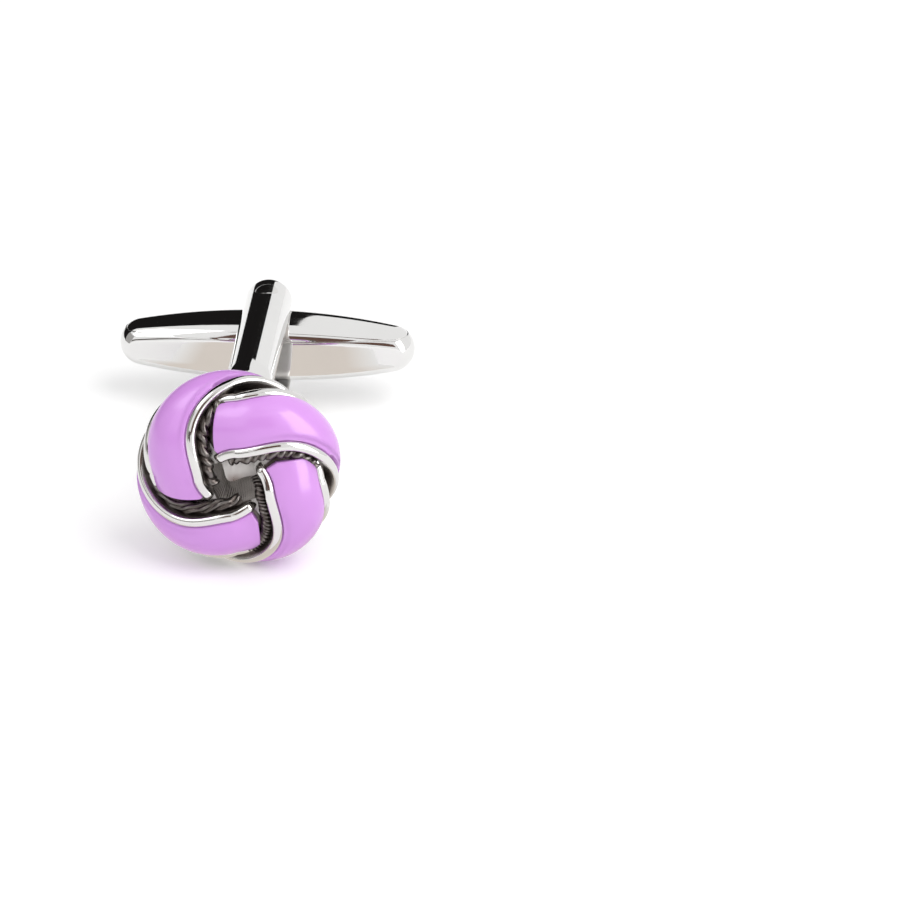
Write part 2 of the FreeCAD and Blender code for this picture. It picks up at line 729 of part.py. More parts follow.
def make_leaf_spring():
    """The bowed strip between a flat of the pin and the back wall of the tray."""
    body = new_body("leaf_spring")
    strip = new_sketch(body, "strip", "XY_Plane")
    draw_outline(strip, [
        ("-spring_half_length", "spring_end_front", "spring_radius", (0, -1, 0)),
        ("spring_half_length", "spring_end_front"),
        ("spring_half_length", "spring_end_back", "spring_radius", (0, -1, 0)),
        ("-spring_half_length", "spring_end_back"),
    ])
    add_pad(body, strip, "spring_height", symmetric=True)
    return body


def check_and_write(parts):
    """Stop at any failed object, then write each sub-part to its own file."""
    for obj in doc.Objects:
        if "Invalid" in obj.State or "Error" in obj.State:
            raise RuntimeError("%s failed: %s" % (obj.Name, obj.State))
    for part in parts:
        if part.Shape.isNull() or not part.Shape.isValid():
            raise RuntimeError("%s has no valid shape" % part.Label)
        if len(part.Shape.Solids) != 1:
            raise RuntimeError("%s has %d solids" % (part.Label, len(part.Shape.Solids)))
    os.makedirs("parts", exist_ok=True)
    for part in parts:
        part.Shape.exportStep(os.path.join("parts", part.Label + ".step"))
        box = part.Shape.BoundBox
        print("%-26s volume %8.2f  x %6.2f %6.2f  y %6.2f %6.2f  z %6.2f %6.2f" % (
            part.Label, part.Shape.Volume, box.XMin, box.XMax, box.YMin, box.YMax, box.ZMin, box.ZMax))


def main():
    """Build every sub-part and write it."""
    fill_sheet()
    parts = [make_casting()] + make_enamel() + [make_back_plate()]
    parts.append(make_post_fork())
    parts.append(make_pivot_pin())
    parts.append(make_toggle_shell("toggle_tray", "tray", "side_top", False))
    parts.append(make_toggle_shell("toggle_lid", "lid", "-side_top", True))
    parts.append(make_leaf_spring())
    doc.recompute()
    check_and_write(parts)


main()
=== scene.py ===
import math

import bmesh
import bpy
import numpy as np
from mathutils import Matrix, Vector


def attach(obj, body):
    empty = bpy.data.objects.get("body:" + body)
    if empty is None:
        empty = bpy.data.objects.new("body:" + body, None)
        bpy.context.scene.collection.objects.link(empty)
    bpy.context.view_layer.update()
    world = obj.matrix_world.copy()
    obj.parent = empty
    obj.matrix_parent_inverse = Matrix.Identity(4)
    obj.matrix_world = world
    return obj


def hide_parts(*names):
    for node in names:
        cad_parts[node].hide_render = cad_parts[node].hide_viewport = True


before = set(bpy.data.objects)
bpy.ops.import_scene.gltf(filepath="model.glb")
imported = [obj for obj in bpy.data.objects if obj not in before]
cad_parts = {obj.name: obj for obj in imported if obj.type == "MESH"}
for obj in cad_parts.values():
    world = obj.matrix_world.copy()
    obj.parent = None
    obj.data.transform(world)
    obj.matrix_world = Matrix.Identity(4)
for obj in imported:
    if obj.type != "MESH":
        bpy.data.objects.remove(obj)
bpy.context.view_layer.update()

MM = 0.001
WELD = 0.0005 * MM

# The knot is a spheroid round the post's axis, its front towards -Y.
KNOT_RADIUS = 6.1 * MM
KNOT_HALF_DEPTH = 3.15 * MM
KNOT_BACK = 3.3 * MM
WEAVE_RISE = 0.48 * MM
WEAVE_START_DEG = 42.5
WEAVE_GIRTH_DEG = 64
STRAP_FROM_DEG = -42
STRAP_TO_DEG = 186
DIVE_FROM_DEG = 105
DIVE_TO_DEG = 150
STRAPS = {"left": 180, "top": 90, "right": 0, "bottom": -90}
STEP_DEG = 90

STRAP_WIDTH = 4.5 * MM
STRAP_DEPTH = 1.9 * MM
STRAP_SIDE_DEPTH = 0.95 * MM
RIM_WIDTH = 0.68 * MM
RIM_SHOULDER = 0.26 * MM
RIM_CREST = 0.02 * MM
RIM_NOSE_DEG = 12
RIM_NOSE_DROP = 0.8 * MM
RIM_NOSE_TAPER = 0.6
STRAP_STATIONS = 260
RIM_STEPS = 14
SIDE_STEPS = 3
# Below this share of the rim's shoulder a strap darkens: dark patina and painted shade in its deep places.
DARK_FROM_SHARE = 0.75
STRAP_CREASE_DEG = 38
FLOOR_STEPS = 14
MARCH_STEPS = 16
SMALL_TURN_DEG = 0.05

ENAMEL_DEPTH = 0.55 * MM
ENAMEL_FIT = 0.02 * MM
ENAMEL_CROWN = 0.215 * MM
ENAMEL_SET_DOWN = 0.08 * MM
ENAMEL_INNER_DEG = -34
ENAMEL_OUTER_DEG = -12
ENAMEL_SHIFT_DEG = {"left": 1.5, "top": 0, "right": -5, "bottom": -4}
ENAMEL_START_GAP = -0.1 * MM
ENAMEL_END_GAP = 0.2 * MM
ENAMEL_PLATE_GAP = 0.12 * MM
START_ROUND = 0.12 * MM
START_DROP = 0.09 * MM
SIDE_ROUND = 0.1 * MM
SIDE_DROP = 0.05 * MM
END_ROUND = 0.22 * MM
END_DROP = 0.3 * MM
ENAMEL_STATIONS = 150
ENAMEL_STEPS = 36
ENAMEL_CREASE_DEG = 60

# Where the crossings of the straps are looked for, and in how many steps.
COVER_SEARCH_DEG = (-30, 150)
COVER_STEPS = 721
START_SEARCH_DEG = (-30, 90)
END_SEARCH_DEG = (70, 186)
PLATE_SEARCH_DEG = (60, 186)
SEARCH_STEPS = 481
PLATE_SEARCH_STEPS = 505
SLANT_STEPS = 200

CORE_DROP = 1.05 * MM
HOLLOW_RADIUS = 1.9 * MM
CORE_RIB = 0.05 * MM
CORE_RIBS = 64
CORE_TWIST = 1.2
CORE_STEPS = 720
CORE_ROWS = 60
# How dark the core under the straps is: dark patina and painted shade.
CORE_PATINA_AND_SHADE = 0.65
HOLE_HALF = 1.55 * MM
HOLE_SQUARE = 5
HOLE_LEAN_DEG = 18
HOLE_RIB = 0.04 * MM
HOLE_RIBS = 72
HOLE_TAPER = 0.45 * MM
HOLE_ROWS = 16
# How dark the hole's wall is: dark patina and painted shade.
HOLE_WALL_PATINA_AND_SHADE = 0.32

# The cords in the gutters: the way between two lumps and the count of strands, for each strap.
ROPES = {"left": (0.78 * MM, 2), "top": (0.55 * MM, 2), "right": (0.27 * MM, 2), "bottom": (1.1 * MM, 5)}
ROPE_RADIUS = 0.4 * MM
ROPE_LIE = 0.24 * MM
ROPE_BELOW = 1.06 * MM
ROPE_WANDER = 1.9 * MM
ROPE_LOBE_SHARE = 0.34
ROPE_SWAY = 0.9
ROPE_SWELL = 0.1
ROPE_SWELL_PACE = 1.7
# How dark the cords are, and how much darker in the hollows between their lobes: dark patina and painted
# shade.
ROPE_PATINA_AND_SHADE = 0.86
ROPE_HOLLOW_PATINA_AND_SHADE = 0.3
ROPE_STATIONS = 420
ROPE_SIDES = 36
ROPE_CREASE_DEG = 60
ROPE_FROM_DEG = -27
ROPE_TO_DEG = 76

# The back plate and the post.
PLATE_RADIUS = 4.4 * MM
PLATE_EDGE = 0.5 * MM
PLATE_DOME = 0.9 * MM
PLATE_ROUND = 0.16 * MM
PLATE_FIT = 0.03 * MM
PLATE_LATHE_STEPS = 160
ROUND_STEPS = 6
DOME_STEPS = 16
STEM_RADIUS = 1.4 * MM
STEM_ENGAGE = 1.9 * MM
STEM_FILLET = 0.25 * MM
STEM_STEPS = 40
FILLET_STEPS = 12
STEM_CREASE_DEG = 30
LATHE_STEPS = 96
FLOOR_PLATE = 0.04 * MM
FLOOR_DISH = 0.55 * MM
DISH_STEPS = 24
POST_REACH = 16.7 * MM
YOKE_SETBACK = 2.8 * MM
BEND_RADIUS = 0.4 * MM
LEG_WIDTH = 3.2 * MM
LEG_THICKNESS = 1.55 * MM
LEG_EDGE = 0.1 * MM
LEG_OVERHANG = 1.35 * MM
LEG_EDGE_ROUND = 0.05 * MM
LEG_CROWN_STEPS = 49
LEG_FLAT_STEPS = 13
LEG_END_STATIONS = 15
LEG_STATIONS = 25
BEND_STATIONS = 19
YOKE_STATIONS = 7
FORK_CREASE_DEG = 60
FORK_GAP = 5.1 * MM
PIN_DIAMETER = 1.6 * MM
PIN_RING = 0.045 * MM
PIN_PROUD = 0.015 * MM
PIN_SUNK = 0.3 * MM
PIN_STEPS = 96
PIN_FACE_RINGS = 12
PIN_FACE_SHARE = 0.98
PIN_PATINA = [1, 0.6, 0.1]

# The toggle, a bullet with flat sides, split along a seam into a tray and a lid.
TOGGLE_LENGTH = 20.0 * MM
TOGGLE_HEIGHT = 4.8 * MM
TOGGLE_DEPTH = 4.0 * MM
NOSE_RADIUS = 1.6 * MM
SIDE_RADIUS = 66.0 * MM
FLAT_ROUND = 1.0 * MM
SEAM_HEIGHT = 1.1 * MM
LID_INSET = 0.004 * MM
LID_END_INSET = 0.02 * MM
LIP_ROUND = 0.015 * MM
TOGGLE_STATIONS = 150
TOGGLE_STEPS = 44
TOGGLE_TIP_SHARE = 0.9999
ARC_STEPS = 40
EDGE_STEPS = 16
FLAT_STEPS = 24
TOGGLE_CREASE_DEG = 55

# The view of the photograph: angles, the knot's middle in the picture, and pixels to the millimetre there.
PICTURE = 900
SENSOR_WIDTH = 36
VIEW_DISTANCE = 400 * MM
VIEW_ELEVATION_DEG = 24.611
VIEW_YAW_DEG = 3.868
VIEW_ROLL_DEG = 0.11
VIEW_SCALE = 15.474 / MM
KNOT_PIXEL = (237.941, 468.251)

# The stage.
FLOOR_TILT_DEG = 6.7
FLOOR_GAP = 0.07 * MM
FLOOR_BACK = 150 * MM
FLOOR_REACH = 260 * MM
FLOOR_TONES = ((0.9, 0.9, 0.9), (0.92, 0.92, 0.92))
FLOOR_GLOW = 0.18
WORLD_LIGHT = 0.74
LAMP_DISTANCE = 300 * MM
SOFT_BOX = {"side_deg": -35, "height_deg": 55, "size": 200 * MM, "level": 3.1}
# A warm card on the floor between the knot and the toggle, seen only in the metal: a painted reflection of
# the floor's shade there, fading to white at the sides.
FLOOR_SHADE_CARD_LIFT = 0.02 * MM
FLOOR_SHADE_CARD_SIDES = (-10 * MM, -7.5 * MM, 6.5 * MM, 9.5 * MM)
FLOOR_SHADE_CARD_DEPTHS = (-3 * MM, 18 * MM)
FLOOR_SHADE_CARD_FADE = [0, 1, 1, 0]
FLOOR_SHADE_CARD_COLOUR = (0.83, 0.76, 0.7)

# Cards on spheres round the origin: radius, sides from +X towards +Y and heights in degrees, and colour.
CARDS = {
    "back_card": (320 * MM, (90.6, 172), (-14, 85), (0.014, 0.013, 0.013)),
    "low_card": (322 * MM, (83, 92), (-14, 26), (0.014, 0.013, 0.013)),
    "front_card": (460 * MM, (-104, -68), (10, 40), (0.17, 0.1, 0.08)),
    "bar_card": (450 * MM, (-112, -46), (56.5, 59.5), (0.13, 0.08, 0.065)),
    "right_window": (300 * MM, (-48, -14), (-6, 51), (5.5, 5.5, 5.5)),
    "left_window": (300 * MM, (-165, -122), (40, 66), (3.5, 3.5, 3.5)),
    "left_card": (322 * MM, (171, 216), (-10, 35), (0.5, 0.49, 0.48)),
    "left_bar": (450 * MM, (-140, -104), (2, 14), (0.14, 0.12, 0.11)),
}
CARD_STEPS = 40
CARD_DIM = 0.7

# Pairs of tones that a noise mixes, apart from the casting's: bright, and dark where it lies deep, the dark
# being dark patina and painted shade together.
PLATING_TONES = ((0.74, 0.735, 0.725), (0.8, 0.795, 0.785))
CASTING_TONES = ((0.71, 0.7, 0.685), (0.11, 0.093, 0.085))
ENAMEL_TONES = ((0.69, 0.31, 0.815), (0.73, 0.335, 0.85))
SATIN_TONES = ((0.78, 0.745, 0.73), (0.92, 0.885, 0.87))
STEEL_TONES = ((0.5, 0.5, 0.51), (0.62, 0.62, 0.62))
NOISE_RANGE = (0.3, 0.7)
DULL_ROUGHNESS = 0.35
WEAR_SHARE = 0.5


def unit(vectors):
    """Vectors scaled to a length of 1."""
    return vectors / np.linalg.norm(vectors, axis=-1, keepdims=True)


def dot(first, second):
    """Dot products along the last axis, which is kept."""
    return (first * second).sum(-1, keepdims=True)


def rounding(distance, radius, drop):
    """The fall of a rounded end: drop at distance 0, none from the radius on."""
    share = np.clip(1 - distance / radius, 0, 1)
    return drop * (1 - np.sqrt(1 - share * share))


def strap_rise(turn):
    """How far a strap lies above the knot's middle surface: under, over, then under again."""
    climb = WEAVE_RISE * np.sin(np.radians(STEP_DEG * np.maximum(turn / (STEP_DEG / 2), -1)))
    dive = np.clip((turn - DIVE_FROM_DEG) / (DIVE_TO_DEG - DIVE_FROM_DEG), 0, 1)
    return np.where(turn < STEP_DEG / 2, climb, WEAVE_RISE * np.cos(np.pi * dive))


def strap_line(turn):
    """The middle of a strap that starts at the right, and the half axes of its spheroid there."""
    turn = np.asarray(turn, float)
    start = math.radians(WEAVE_START_DEG)
    share = np.clip(turn / WEAVE_GIRTH_DEG, 0, 2)
    polar = start + (np.pi / 2 - start) * (1 - np.cos(np.pi / 2 * share))
    rise = strap_rise(turn)
    girth = KNOT_RADIUS + rise
    depth = KNOT_HALF_DEPTH + rise
    angle = -np.radians(turn)
    ring = girth * np.sin(polar)
    middle = np.stack([ring * np.cos(angle), -depth * np.cos(polar), ring * np.sin(angle)], -1)
    return middle, np.stack([girth, depth, girth], -1)


def strap_points(turn, across, below):
    """Points of a strap: turn along it in degrees, a way across on the spheroid, a depth below it."""
    turn, across, below = np.broadcast_arrays(np.asarray(turn, float), across, below)
    point, axes = strap_line(turn)
    along = unit(strap_line(turn + SMALL_TURN_DEG)[0] - strap_line(turn - SMALL_TURN_DEG)[0])
    normal = unit(point / axes ** 2)
    up = unit(normal - along * dot(normal, along))
    side = np.cross(up, along)
    for _ in range(MARCH_STEPS):
        normal = point / axes ** 2
        rise, lean = dot(normal, up), dot(normal, side)
        tangent = (side * rise - up * lean) / np.sqrt(rise ** 2 + lean ** 2)
        point = point + tangent * (across / MARCH_STEPS)[..., None]
        place, way = point / axes, up / axes
        square, half = dot(way, way), dot(place, way)
        root = np.sqrt(np.maximum(half ** 2 - square * (dot(place, place) - 1), 0))
        point = point + up * ((root - half) / square)
    normal = point / axes ** 2
    outward = unit(side * dot(normal, side) + up * dot(normal, up))
    return point - outward * below[..., None]


def placed(points, place_deg):
    """Turns a strap that starts at the right to its own start, and moves it to the knot's place."""
    angle = math.radians(place_deg)
    x, y, z = points[..., 0], points[..., 1], points[..., 2]
    turned_x = x * math.cos(angle) - z * math.sin(angle)
    turned_z = x * math.sin(angle) + z * math.cos(angle)
    return np.stack([turned_x, y - KNOT_BACK, turned_z], -1)


def grid_faces(rows, columns, wrap=False, offset=0):
    """Quads of a grid of points, row by row; wrap joins the last column to the first."""
    faces = []
    for row in range(rows - 1):
        for column in range(columns if wrap else columns - 1):
            following = (column + 1) % columns
            base = offset + row * columns
            above = base + columns
            faces.append((base + column, base + following, above + following, above + column))
    return faces


def closed_faces(rows, columns):
    """Faces of a tube of rings, closed at both ends."""
    faces = grid_faces(rows, columns, wrap=True)
    faces.append(tuple(range(columns)))
    faces.append(tuple(range((rows - 1) * columns, rows * columns)))
    return faces


def add_piece(name, points, faces, material, body, stands_for=(), patina=None, crease_deg=50):
    """Makes a mesh piece that rides on a body, with outward faces and smooth shading up to a crease."""
    mesh = bpy.data.meshes.new(name)
    mesh.from_pydata([tuple(point) for point in points], [], faces)
    if patina is not None:
        layer = mesh.attributes.new("patina", "FLOAT", "POINT")
        layer.data.foreach_set("value", np.asarray(patina, np.float32))
    work = bmesh.new()
    work.from_mesh(mesh)
    bmesh.ops.remove_doubles(work, verts=work.verts, dist=WELD)
    bmesh.ops.recalc_face_normals(work, faces=work.faces)
    work.to_mesh(mesh)
    work.free()
    mesh.polygons.foreach_set("use_smooth", [True] * len(mesh.polygons))
    mesh.set_sharp_from_angle(angle=math.radians(crease_deg))
    mesh.materials.append(material)
    mesh.update()
    piece = bpy.data.objects.new(name, mesh)
    bpy.context.scene.collection.objects.link(piece)
    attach(piece, body)
    if stands_for:
        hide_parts(*stands_for)
    return piece


def new_material(name):
    """A new material, with its nodes, its links and its shader."""
    material = bpy.data.materials.new(name)
    material.use_nodes = True
    nodes = material.node_tree.nodes
    return material, nodes, material.node_tree.links, nodes["Principled BSDF"]


def noise_on(nodes, links, scale, detail, stretch=(1, 1, 1)):
    """A noise in the object's own coordinates, drawn out along the axes by the stretch."""
    place = nodes.new("ShaderNodeTexCoord")
    mapping = nodes.new("ShaderNodeMapping")
    mapping.inputs["Scale"].default_value = stretch
    noise = nodes.new("ShaderNodeTexNoise")
    noise.inputs["Scale"].default_value = scale
    noise.inputs["Detail"].default_value = detail
    links.new(place.outputs["Object"], mapping.inputs["Vector"])
    links.new(mapping.outputs["Vector"], noise.inputs["Vector"])
    return noise.outputs["Fac"]


def spread(nodes, links, value, low, high):
    """Maps a noise to a range of values."""
    ramp = nodes.new("ShaderNodeMapRange")
    ramp.inputs["From Min"].default_value = NOISE_RANGE[0]
    ramp.inputs["From Max"].default_value = NOISE_RANGE[1]
    ramp.inputs["To Min"].default_value = low
    ramp.inputs["To Max"].default_value = high
    links.new(value, ramp.inputs["Value"])
    return ramp.outputs["Result"]


def bump_on(nodes, links, value, strength, height):
    """A normal roughened by a value."""
    bump = nodes.new("ShaderNodeBump")
    bump.inputs["Strength"].default_value = strength
    bump.inputs["Distance"].default_value = height
    links.new(value, bump.inputs["Height"])
    return bump.outputs["Normal"]


def colour_mix(nodes, links, share, first, second):
    """A colour between two, by a share from 0 to 1."""
    mix = nodes.new("ShaderNodeMix")
    mix.data_type = "RGBA"
    links.new(share, mix.inputs["Factor"])
    mix.inputs["A"].default_value = (*first, 1)
    mix.inputs["B"].default_value = (*second, 1)
    return mix.outputs["Result"]


def plating_material():
    """Bright plating with faint polishing marks and a slight waviness, duller where the mesh says so."""
    material, nodes, links, shader = new_material("bright_plating")
    clouds = noise_on(nodes, links, scale=400, detail=3)
    links.new(colour_mix(nodes, links, clouds, *PLATING_TONES), shader.inputs["Base Color"])
    shader.inputs["Metallic"].default_value = 1
    marks = noise_on(nodes, links, scale=900, detail=6, stretch=(0.4, 2.5, 2.5))
    dull = nodes.new("ShaderNodeAttribute")
    dull.attribute_name = "patina"
    roughness = nodes.new("ShaderNodeMath")
    roughness.operation = "MULTIPLY_ADD"
    roughness.inputs[1].default_value = DULL_ROUGHNESS
    links.new(dull.outputs["Fac"], roughness.inputs[0])
    links.new(spread(nodes, links, marks, low=0.03, high=0.07), roughness.inputs[2])
    links.new(roughness.outputs[0], shader.inputs["Roughness"])
    waves = noise_on(nodes, links, scale=260, detail=2)
    links.new(bump_on(nodes, links, waves, strength=0.06, height=0.06 * MM), shader.inputs["Normal"])
    return material


def casting_material():
    """The same plating on the cast straps: bright on the rims, darkened where the mesh says it lies deep, as
    dark patina and painted shade.
    """
    material, nodes, links, shader = new_material("darkened_casting")
    patina = nodes.new("ShaderNodeAttribute")
    patina.attribute_name = "patina"
    grain = noise_on(nodes, links, scale=1500, detail=5)
    worn = nodes.new("ShaderNodeMath")
    worn.operation = "MULTIPLY_ADD"
    links.new(grain, worn.inputs[0])
    worn.inputs[1].default_value = WEAR_SHARE
    worn.inputs[2].default_value = -WEAR_SHARE / 2
    share = nodes.new("ShaderNodeMath")
    share.operation = "MULTIPLY_ADD"
    share.use_clamp = True
    links.new(worn.outputs[0], share.inputs[0])
    links.new(patina.outputs["Fac"], share.inputs[1])
    links.new(patina.outputs["Fac"], share.inputs[2])
    links.new(colour_mix(nodes, links, share.outputs[0], *CASTING_TONES), shader.inputs["Base Color"])
    shader.inputs["Metallic"].default_value = 1
    roughness = nodes.new("ShaderNodeMapRange")
    roughness.inputs["To Min"].default_value = 0.08
    roughness.inputs["To Max"].default_value = 0.34
    links.new(share.outputs[0], roughness.inputs["Value"])
    links.new(roughness.outputs["Result"], shader.inputs["Roughness"])
    links.new(bump_on(nodes, links, grain, strength=0.1, height=0.03 * MM), shader.inputs["Normal"])
    return material


def enamel_material():
    """Glossy lilac enamel with faint clouds in its colour."""
    material, nodes, links, shader = new_material("lilac_enamel")
    clouds = noise_on(nodes, links, scale=330, detail=4)
    links.new(colour_mix(nodes, links, clouds, *ENAMEL_TONES), shader.inputs["Base Color"])
    haze = noise_on(nodes, links, scale=1200, detail=4)
    links.new(spread(nodes, links, haze, low=0.18, high=0.24), shader.inputs["Roughness"])
    shader.inputs["Coat Weight"].default_value = 0.4
    shader.inputs["Coat Roughness"].default_value = 0.13
    waves = noise_on(nodes, links, scale=500, detail=2)
    links.new(bump_on(nodes, links, waves, strength=0.05, height=0.05 * MM), shader.inputs["Normal"])
    return material


def satin_material():
    """Pale metal left dull at the bottom of the hole, with fine brushed lines."""
    material, nodes, links, shader = new_material("dull_satin")
    lines = noise_on(nodes, links, scale=1800, detail=5, stretch=(2.5, 1, 0.3))
    links.new(colour_mix(nodes, links, lines, *SATIN_TONES), shader.inputs["Base Color"])
    shader.inputs["Metallic"].default_value = 1
    links.new(spread(nodes, links, lines, low=0.25, high=0.4), shader.inputs["Roughness"])
    links.new(bump_on(nodes, links, lines, strength=0.2, height=0.02 * MM), shader.inputs["Normal"])
    return material


def steel_material():
    """Rolled spring strip with fine lines along its length."""
    material, nodes, links, shader = new_material("rolled_strip")
    lines = noise_on(nodes, links, scale=3000, detail=4, stretch=(0.05, 1, 1))
    links.new(colour_mix(nodes, links, lines, *STEEL_TONES), shader.inputs["Base Color"])
    shader.inputs["Metallic"].default_value = 1
    links.new(spread(nodes, links, lines, low=0.25, high=0.4), shader.inputs["Roughness"])
    links.new(bump_on(nodes, links, lines, strength=0.15, height=0.01 * MM), shader.inputs["Normal"])
    return material


def strap_profile():
    """Across and below of the points round a strap's section, and how dark each point is: dark patina and
    painted shade where it lies below the rim.
    """
    half = STRAP_WIDTH / 2
    crest = half - RIM_WIDTH / 2
    arc = np.linspace(0, np.pi, RIM_STEPS)
    rim_across = crest + RIM_WIDTH / 2 * np.cos(arc)
    rim_below = RIM_CREST + (RIM_SHOULDER - RIM_CREST) * (1 - np.sin(arc))
    wall = np.linspace(STRAP_SIDE_DEPTH, RIM_SHOULDER, SIDE_STEPS + 1)[:-1]
    step = np.array([(RIM_SHOULDER + ENAMEL_DEPTH) / 2])
    inside = half - RIM_WIDTH
    floor = np.linspace(inside, -inside, FLOOR_STEPS)
    across = np.concatenate([
        np.full(SIDE_STEPS, half), rim_across, [inside], floor, [-inside], -rim_across[::-1],
        np.full(SIDE_STEPS, -half), [-half / 2, 0, half / 2]])
    deep = (STRAP_SIDE_DEPTH + STRAP_DEPTH) / 2
    below = np.concatenate([
        wall, rim_below, step, np.full(FLOOR_STEPS, ENAMEL_DEPTH), step, rim_below[::-1], wall[::-1],
        [deep, STRAP_DEPTH, deep]])
    # Darker the deeper it lies: dark patina and painted shade.
    dark = np.clip((below - RIM_SHOULDER * DARK_FROM_SHARE) / RIM_SHOULDER, 0, 1)
    return across, below, dark


def make_straps(material):
    """The four straps with their raised rims, each from its start beside the hole to its end at the back."""
    across, below, dark = strap_profile()
    turns = np.linspace(STRAP_FROM_DEG, STRAP_TO_DEG, STRAP_STATIONS)
    nose = rounding(turns - STRAP_FROM_DEG, RIM_NOSE_DEG, RIM_NOSE_DROP)
    lowered = below[None, :] + nose[:, None] * (below < STRAP_SIDE_DEPTH)[None, :]
    inside = STRAP_WIDTH / 2 - RIM_WIDTH
    beyond = np.minimum(across + inside, 0)
    point = rounding(turns - STRAP_FROM_DEG, RIM_NOSE_DEG, RIM_NOSE_TAPER)
    points = strap_points(turns[:, None], across[None, :] - beyond[None, :] * point[:, None], lowered)
    under_plate = KNOT_BACK - PLATE_EDGE - PLATE_DOME
    below_plate = np.hypot(points[..., 0], points[..., 2]) < PLATE_RADIUS + PLATE_FIT
    points[..., 1] = np.where(below_plate, np.minimum(points[..., 1], under_plate), points[..., 1])
    count = len(across)
    faces = closed_faces(STRAP_STATIONS, count)
    for name, place_deg in STRAPS.items():
        stands_for = ("knot_casting",) if name == "left" else ()
        add_piece(f"strap_{name}", placed(points, place_deg).reshape(-1, 3), faces, material,
                  "knot_and_post", stands_for, np.tile(dark, STRAP_STATIONS),
                  STRAP_CREASE_DEG)


def lathe(profile, steps):
    """Points and faces of a closed profile of (radius, y) turned about the post's axis."""
    angles = np.linspace(0, 2 * np.pi, steps, endpoint=False)
    rows = []
    for angle in angles:
        rows.append([(radius * math.cos(angle), y, radius * math.sin(angle)) for radius, y in profile])
    points = np.array(rows + rows[:1])
    return points.reshape(-1, 3), grid_faces(steps + 1, len(profile), wrap=True)


def make_core(material):
    """The dark body under the straps, finely ribbed along their lay, with a ribbed, squarish hollow; its
    dark is dark patina and painted shade together.
    """
    girth = KNOT_RADIUS - CORE_DROP
    depth = KNOT_HALF_DEPTH - CORE_DROP
    spin = np.linspace(0, 2 * np.pi, CORE_STEPS, endpoint=False)[:, None]
    lean = spin - math.radians(HOLE_LEAN_DEG)
    square = np.abs(np.cos(lean)) ** HOLE_SQUARE + np.abs(np.sin(lean)) ** HOLE_SQUARE
    hollow = HOLE_HALF / square ** (1 / HOLE_SQUARE)
    edge = np.arcsin(hollow / girth)
    polar = edge + (np.pi - 2 * edge) * np.linspace(0, 1, CORE_ROWS)[None, :]
    drop = CORE_RIB * (1 + np.cos(CORE_RIBS * (spin + CORE_TWIST * polar))) / 2 * np.sin(polar)
    ring = (girth - drop) * np.sin(polar)
    y = -(depth - drop) * np.cos(polar)
    wall = np.linspace(1, -1, HOLE_ROWS)[None, 1:-1]
    wall_ring = hollow - HOLE_RIB * (1 + np.cos(HOLE_RIBS * spin)) / 2 * (1 - wall ** 2)
    wall_ring = wall_ring - HOLE_TAPER * (1 + wall) / 2
    ring = np.concatenate([ring, wall_ring], 1)
    y = np.concatenate([y, y[:, -1:] * wall], 1) - KNOT_BACK
    points = np.stack([ring * np.cos(spin), y, ring * np.sin(spin)], -1)
    points = np.concatenate([points, points[:1]])
    rows, columns = points.shape[:2]
    # The core and the hole's wall are darkened: dark patina and painted shade.
    patina = np.concatenate([np.full(CORE_ROWS, CORE_PATINA_AND_SHADE), np.full(columns - CORE_ROWS, HOLE_WALL_PATINA_AND_SHADE)])
    add_piece("knot_core", points.reshape(-1, 3), grid_faces(rows, columns, wrap=True), material,
              "knot_and_post", (), np.tile(patina, rows))


def crossing_turns(across, search_deg, cover_deg, cover_side, entering):
    """For each line across a strap, the turn at which it meets the edge of the strap that covers it."""
    axes = np.array([KNOT_RADIUS, KNOT_HALF_DEPTH, KNOT_RADIUS])
    cover_turns = np.linspace(*COVER_SEARCH_DEG, COVER_STEPS)
    shift = np.array([0, KNOT_BACK, 0])
    middle = unit((placed(strap_points(cover_turns, 0.0, 0.0), cover_deg) + shift) / axes)
    edge = unit((placed(strap_points(cover_turns, cover_side, 0.0), cover_deg) + shift) / axes)
    reach = np.linalg.norm(edge - middle, axis=1)
    turns = np.linspace(*search_deg, SEARCH_STEPS)
    found = []
    for value in across:
        way = unit(strap_points(turns, value, 0.0) / axes)
        gaps = np.linalg.norm(way[:, None, :] - middle[None, :, :], axis=2)
        nearest = gaps.argmin(1)
        over = gaps[np.arange(len(turns)), nearest] - reach[nearest]
        hits = np.nonzero(over < 0 if entering else over > 0)[0]
        found.append(turns[hits[0]] if len(hits) else turns[-1])
    return np.array(found)


def smoothed(values, rounds=4):
    """A row of values evened out, with its ends kept."""
    for _ in range(rounds):
        inner = (values[:-2] + 2 * values[1:-1] + values[2:]) / 4
        values = np.concatenate([values[:1], inner, values[-1:]])
    return values


def slanted_start(across, half, shift_deg):
    """For each line across a strap, the turn of the straight cut from rim to rim that starts the enamel."""
    inner = strap_points(ENAMEL_INNER_DEG + shift_deg, -half, 0.0)
    outer = strap_points(ENAMEL_OUTER_DEG + shift_deg, half, 0.0)
    middle = (inner + outer) / 2
    ahead = np.cross(unit(middle), unit(outer - inner))
    turns = np.linspace(STRAP_FROM_DEG, STEP_DEG / 2, SLANT_STEPS)
    way = (strap_points(turns[:, None], across[None, :], 0.0) - middle) @ ahead
    if way[-1, 0] < 0:
        way = -way
    return np.array([np.interp(0, way[:, index], turns) for index in range(len(across))])


